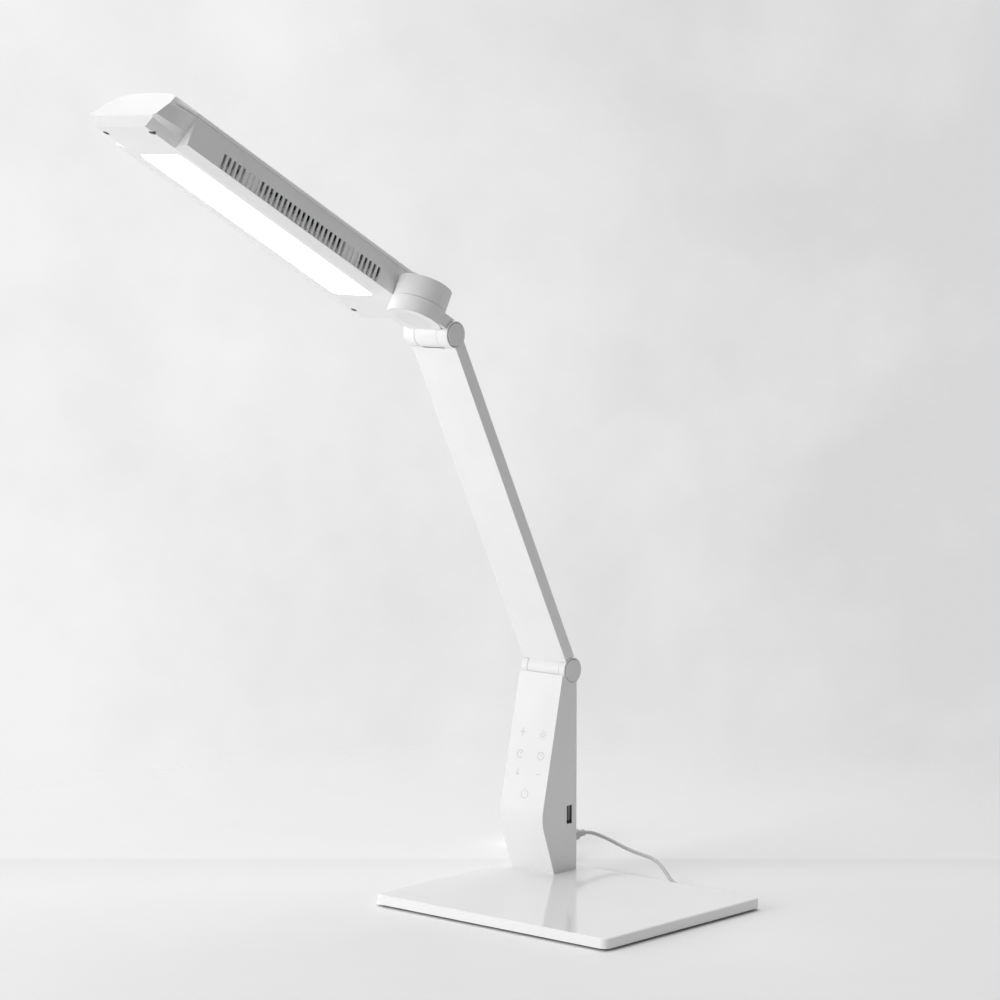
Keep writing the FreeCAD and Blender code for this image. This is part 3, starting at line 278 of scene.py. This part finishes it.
def smooth_crown(thing, limit):
    """Shades the narrow facets of a crowned shell as one curve; edges over the limit stay sharp."""
    group = bpy.data.node_groups.new("crown_shading", "GeometryNodeTree")
    for side in ("INPUT", "OUTPUT"):
        group.interface.new_socket("Geometry", in_out=side, socket_type="NodeSocketGeometry")
    start = group.nodes.new("NodeGroupInput")
    weld = group.nodes.new("GeometryNodeMergeByDistance")
    weld.inputs["Distance"].default_value = WELD_DISTANCE
    clear = group.nodes.new("GeometryNodeRemoveAttribute")
    clear.inputs["Name"].default_value = "custom_normal"
    bend = group.nodes.new("GeometryNodeInputMeshEdgeAngle")
    soft = group.nodes.new("FunctionNodeCompare")
    soft.operation = "LESS_THAN"
    soft.inputs["B"].default_value = limit
    edges = group.nodes.new("GeometryNodeSetShadeSmooth")
    edges.domain = "EDGE"
    faces = group.nodes.new("GeometryNodeSetShadeSmooth")
    finish = group.nodes.new("NodeGroupOutput")
    link(group, bend.outputs["Unsigned Angle"], soft.inputs["A"])
    link(group, soft.outputs["Result"], edges.inputs["Shade Smooth"])
    link(group, start.outputs[0], weld.inputs["Geometry"])
    for earlier, later in ((weld, clear), (clear, edges), (edges, faces)):
        link(group, earlier.outputs["Geometry"], later.inputs["Geometry"])
    link(group, faces.outputs["Geometry"], finish.inputs[0])
    thing.modifiers.new("crown_shading", "NODES").node_group = group


smooth_crown(bpy.data.objects["head_roof"], CROWN_LIMIT)

# ---------------------------------------------------------------- lead
# Millimetres. The lead's middle line is this high where the lead lies on the floor.
ON_FLOOR = 1.35
# From the plug at the post's rear to the right and down to the floor, round a loop there, and
# back along the foot's rear edge to the coil.
LEAD_ROUTE = [
    (-69.7, 99.0, 26.0), (-69.5, 105.5, 25.6), (-65.5, 111.0, 23.2), (-56.5, 113.0, 20.4),
    (-46.5, 112.0, 18.0), (-36.0, 111.0, 15.9), (-25.5, 110.0, 14.8), (-15.5, 108.5, 14.1),
    (-6.0, 105.5, 11.4), (1.5, 102.6, 7.4), (7.6, 100.2, 3.4), (14.0, 98.7, ON_FLOOR),
    (20.7, 98.4, ON_FLOOR), (25.5, 93.8, ON_FLOOR), (25.6, 87.1, ON_FLOOR), (21.0, 82.5, ON_FLOOR),
    (14.2, 82.5, ON_FLOOR), (4.5, 83.7, ON_FLOOR), (-9.0, 84.4, ON_FLOOR), (-26.0, 83.5, ON_FLOOR),
    (-45.0, 84.9, ON_FLOOR), (-64.0, 84.2, ON_FLOOR), (-84.0, 85.9, ON_FLOOR),
]
COIL = Vector((-112.0, 103.5, 0.0))
COIL_RADII = [17.6, 15.0, 12.5]
COIL_ENTRY_RADIUS = 17.75
COIL_TURNS = 12
POINTS_PER_TURN = 16
LAYER_RISE = 2.5
WOBBLE = 0.25
WOBBLE_RATE = 5.1
# The way from the coil's top to the adapter, about the coil's middle: x to the right and y away
# along the photograph's line of sight.
TAIL_ROUTE = [(-12.3, -12.6, 9.7), (-14.9, -7.6, 11.4), (-14.8, -2.0, 12.9), (-13.2, 4.2, 14.0),
              (-11.0, 11.0, 14.4), (-8.2, 18.0, 14.2), (-5.2, 25.5, 13.4), (-4.0, 34.0, 12.5)]
TAIL_TURN = Matrix.Rotation(math.radians(41.5), 3, "Z")
SHEATH_RADIUS = 0.00125
CURVE_STEPS = 6
BEVEL_STEPS = 4


def coil_points():
    """Three rings wide and four layers high, wound clockwise from the front of the ring.

    The step to the next ring takes half a turn, and the climb to the next layer a quarter.
    """
    rings = len(COIL_RADII)
    points = []
    for i in range(1, COIL_TURNS * POINTS_PER_TURN):
        turn = i / POINTS_PER_TURN
        layer = int(turn / rings)
        step = turn - rings * layer
        place = int(step)
        order = COIL_RADII if layer % 2 == 0 else COIL_RADII[::-1]
        radius = order[place]
        if place:
            before = order[place - 1]
        else:
            before = radius if layer else COIL_ENTRY_RADIUS
        radius = before + (radius - before) * min((step - place) * 2, 1.0)
        wobble = WOBBLE * math.sin(turn * WOBBLE_RATE)
        angle = math.radians(-90 - 360 * turn)
        height = ON_FLOOR + layer * LAYER_RISE
        if layer:
            height += (min(step * 4, 1.0) - 1.0) * LAYER_RISE
        points.append((COIL.x + (radius + wobble) * math.cos(angle),
                       COIL.y + (radius + wobble) * math.sin(angle), height))
    return points


def tail_points():
    return [tuple(COIL + TAIL_TURN @ Vector(point)) for point in TAIL_ROUTE]


def lead_curve(name, route):
    """A round sheath along a route in millimetres."""
    curve = bpy.data.curves.new(name, "CURVE")
    curve.dimensions = "3D"
    curve.resolution_u = CURVE_STEPS
    spline = curve.splines.new("NURBS")
    spline.points.add(len(route) - 1)
    for point, spot in zip(spline.points, route):
        point.co = (*(distance / MM_PER_M for distance in spot), 1.0)
    spline.order_u = 3
    spline.use_endpoint_u = True
    curve.bevel_depth = SHEATH_RADIUS
    curve.bevel_resolution = BEVEL_STEPS
    curve.materials.append(SHEATH)
    thing = bpy.data.objects.new(name, curve)
    bpy.context.collection.objects.link(thing)
    return thing


lead = lead_curve("lead", LEAD_ROUTE + coil_points() + tail_points())
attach(lead, "base")
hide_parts("power_lead", "lead_coil", "lead_tail")


# ---------------------------------------------------------------- touch marks
def mesh_thing(name, shape, material):
    """An object from a bmesh, which is used up."""
    mesh = bpy.data.meshes.new(name)
    shape.to_mesh(mesh)
    shape.free()
    mesh.materials.append(material)
    thing = bpy.data.objects.new(name, mesh)
    bpy.context.collection.objects.link(thing)
    return thing


ARC_STEPS = 24


def arc(middle, radius, start, stop):
    """Points from one angle to another, in degrees, anticlockwise from the right."""
    angles = [math.radians(start + (stop - start) * i / ARC_STEPS) for i in range(ARC_STEPS + 1)]
    return [(middle[0] + radius * math.cos(a), middle[1] + radius * math.sin(a)) for a in angles]


# Millimetres on the post's raked front: u to the right of its middle, w up from its knee and n
# out of its surface.
POST_FRONT = Matrix(((1.0, 0.0, 0.0, -69.7), (0.0, 0.2189, -0.9757, 32.07),
                     (0.0, 0.9757, 0.2189, 45.8), (0.0, 0.0, 0.0, 1.0)))
# How far out of the surface the print's two faces are. The lower one is sunk in it.
PRINT_LOW = -0.03
PRINT_HIGH = 0.05
STROKE = 0.5
SUN = (9.4, 58.8)
SUN_RAYS = 8
SUN_RAY_ENDS = (2.4, 3.4)
# Two columns of keys with the power key below them.
SYMBOLS = [
    [(-8.6, 56.2), (-8.6, 62.2)],                       # plus
    [(-10.6, 59.2), (-6.6, 59.2)],
    arc(SUN, 1.3, 0, 358),                              # sun, its rays are added below
    arc((-8.2, 43.9), 2.6, 40, 320),                    # dial
    [(-8.2, 43.9), (-6.4, 45.6)],
    arc((10.4, 44.4), 2.7, 0, 358),                     # clock
    [(10.4, 46.2), (10.4, 44.4), (11.8, 43.6)],
    [(-8.1, 34.4), (-8.1, 29.4)],                       # arrow down
    [(-9.6, 30.9), (-8.1, 29.4), (-6.6, 30.9)],
    [(8.2, 31.6), (12.6, 31.6)],                        # minus
    arc((0.8, 17.4), 3.0, 125, 415),                    # power
    [(0.8, 17.9), (0.8, 21.4)],
]
for ray in range(SUN_RAYS):
    turn = math.radians(360 / SUN_RAYS * ray)
    SYMBOLS.append([(SUN[0] + end * math.cos(turn), SUN[1] + end * math.sin(turn))
                    for end in SUN_RAY_ENDS])


def stroke(shape, line, width):
    """A closed thin bar along a line of points on the post's front."""
    ribs = []
    for i, (u, w) in enumerate(line):
        before = line[max(i - 1, 0)]
        after = line[min(i + 1, len(line) - 1)]
        along = Vector((after[0] - before[0], after[1] - before[1])).normalized()
        side = Vector((-along.y, along.x)) * width / 2
        corners = [(side.x, side.y, PRINT_LOW), (side.x, side.y, PRINT_HIGH),
                   (-side.x, -side.y, PRINT_HIGH), (-side.x, -side.y, PRINT_LOW)]
        ribs.append([shape.verts.new(POST_FRONT @ Vector((u + du, w + dw, n)) / MM_PER_M)
                     for du, dw, n in corners])
    for rib, following in zip(ribs, ribs[1:]):
        for i in range(len(rib)):
            j = (i + 1) % len(rib)
            shape.faces.new((rib[i], rib[j], following[j], following[i]))
    shape.faces.new(ribs[0][::-1])
    shape.faces.new(ribs[-1])


def touch_marks():
    shape = bmesh.new()
    for line in SYMBOLS:
        stroke(shape, line, STROKE)
    bmesh.ops.recalc_face_normals(shape, faces=shape.faces)
    thing = mesh_thing("touch_marks", shape, PRINT)
    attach(thing, "base")


touch_marks()

# ---------------------------------------------------------------- floor
# Along the photograph's line of sight, measured from the origin on the floor.
SIGHT = Vector((-math.sin(AZIMUTH), math.cos(AZIMUTH), 0.0))
TABLE_END = 0.158
# Painted shade: these tones darken the table top a little towards its far edge, up to the edge
# itself.
FAR_EDGE_SHADE = [(0.10, grey(1.0)), (0.48, grey(0.97)), (0.68, grey(0.94)), (0.81, grey(0.94)),
              (0.84, grey(1.0))]
FADE_FROM = 0.28
FADE_TO = 0.75
FLOOR_HALF_WIDTH = 6.0
FLOOR_CELLS = 8
# A Mix node has sockets for each data type. These are its colour sockets.
MIX_FIRST = 6
MIX_SECOND = 7
MIX_RESULT = 2


def floor_material():
    """Table top, darkened a little along its far edge by painted shade, that fades out into the
    backdrop.
    """
    material, tree, shader = new_material("floor")
    shader.inputs["Roughness"].default_value = 0.55
    shader.inputs["Specular IOR Level"].default_value = 0.25
    spot = coords(tree)
    across_edge = spread(tree, dot(tree, spot, SIGHT), 0.0, 1.0,
                         start=TABLE_END - 0.10, stop=TABLE_END + 0.02)
    mix = tree.nodes.new("ShaderNodeMix")
    mix.data_type = "RGBA"
    mix.blend_type = "MULTIPLY"
    mix.inputs["Factor"].default_value = 1.0
    cloud = noise(tree, scale=9.0, detail=5.0, rough=0.6)
    top = ramp(tree, cloud, [(0.3, grey(0.92)), (0.7, grey(0.94))])
    link(tree, top, mix.inputs[MIX_FIRST])
    link(tree, ramp(tree, across_edge, FAR_EDGE_SHADE), mix.inputs[MIX_SECOND])
    link(tree, mix.outputs[MIX_RESULT], shader.inputs["Base Color"])
    fade = spread(tree, length(tree, spot), 0.0, 1.0,
                  start=FADE_FROM, stop=FADE_TO, blend="SMOOTHSTEP")
    path = tree.nodes.new("ShaderNodeLightPath")
    clear = tree.nodes.new("ShaderNodeBsdfTransparent")
    blend = tree.nodes.new("ShaderNodeMixShader")
    link(tree, maths(tree, "MULTIPLY", fade, path.outputs["Is Camera Ray"]), blend.inputs["Fac"])
    link(tree, shader.outputs["BSDF"], blend.inputs[1])
    link(tree, clear.outputs["BSDF"], blend.inputs[2])
    link(tree, blend.outputs["Shader"], tree.nodes["Material Output"].inputs["Surface"])
    return material


def floor():
    shape = bmesh.new()
    bmesh.ops.create_grid(shape, x_segments=FLOOR_CELLS, y_segments=FLOOR_CELLS,
                          size=FLOOR_HALF_WIDTH)
    mesh_thing("floor", shape, floor_material())


floor()

# ---------------------------------------------------------------- lights
# Name, place, the point it faces, width, height in metres, watts.
LAMPS = [
    ("key", (-0.85, -2.3, 0.85), (-0.07, 0.0, 0.2), 1.5, 1.3, 28.8),
    ("top", (-0.5, 0.55, 2.1), (0.0, 0.0, 0.0), 1.9, 1.9, 26),
    ("left", (-2.0, -0.6, 0.7), (0.0, 0.0, 0.2), 1.4, 1.4, 10),
]


def area(name, spot, aim, wide, tall, power):
    data = bpy.data.lights.new(name, "AREA")
    data.shape = "RECTANGLE"
    data.size = wide
    data.size_y = tall
    data.energy = power
    lamp = bpy.data.objects.new(name, data)
    lamp.location = spot
    lamp.rotation_euler = (Vector(aim) - Vector(spot)).to_track_quat("-Z", "Y").to_euler()
    bpy.context.collection.objects.link(lamp)


for lamp in LAMPS:
    area(*lamp)

# ---------------------------------------------------------------- backdrop
WALL_HALF_WIDTH = 0.14
# Painted light: the wall is made lighter towards the left and darker towards the right by this
# much.
WALL_FALLOFF = 0.42
WALL_TONES = [(0.1, grey(0.68)), (0.9, grey(0.89))]
# The backdrop's strength as a lamp, and where it is seen, mirrored or seen through.
WALL_LIGHT = 0.31
WALL_SEEN = 1.0


def backdrop():
    """Plaster wall: mottled off-white, lighter towards the left of the photograph."""
    world = bpy.data.worlds.new("studio")
    bpy.context.scene.world = world
    world.use_nodes = True
    tree = world.node_tree
    background = tree.nodes["Background"]
    plaster = noise(tree, scale=14.0, detail=6.0, rough=0.6, space="Generated")
    rightward = (math.cos(AZIMUTH), math.sin(AZIMUTH), 0.0)
    # Painted light: a slope across the view lightens the wall towards the left and darkens it
    # towards the right.
    painted_light_slope = spread(tree, dot(tree, coords(tree, "Generated"), rightward), WALL_FALLOFF, -WALL_FALLOFF,
                   start=-WALL_HALF_WIDTH, stop=WALL_HALF_WIDTH)
    wall = ramp(tree, maths(tree, "ADD", plaster, painted_light_slope), WALL_TONES)
    link(tree, wall, background.inputs["Color"])
    path = tree.nodes.new("ShaderNodeLightPath")
    seen = maths(tree, "MAXIMUM", path.outputs["Is Camera Ray"], path.outputs["Is Glossy Ray"])
    seen = maths(tree, "MAXIMUM", seen, path.outputs["Is Transmission Ray"])
    link(tree, spread(tree, seen, WALL_LIGHT, WALL_SEEN), background.inputs["Strength"])


backdrop()
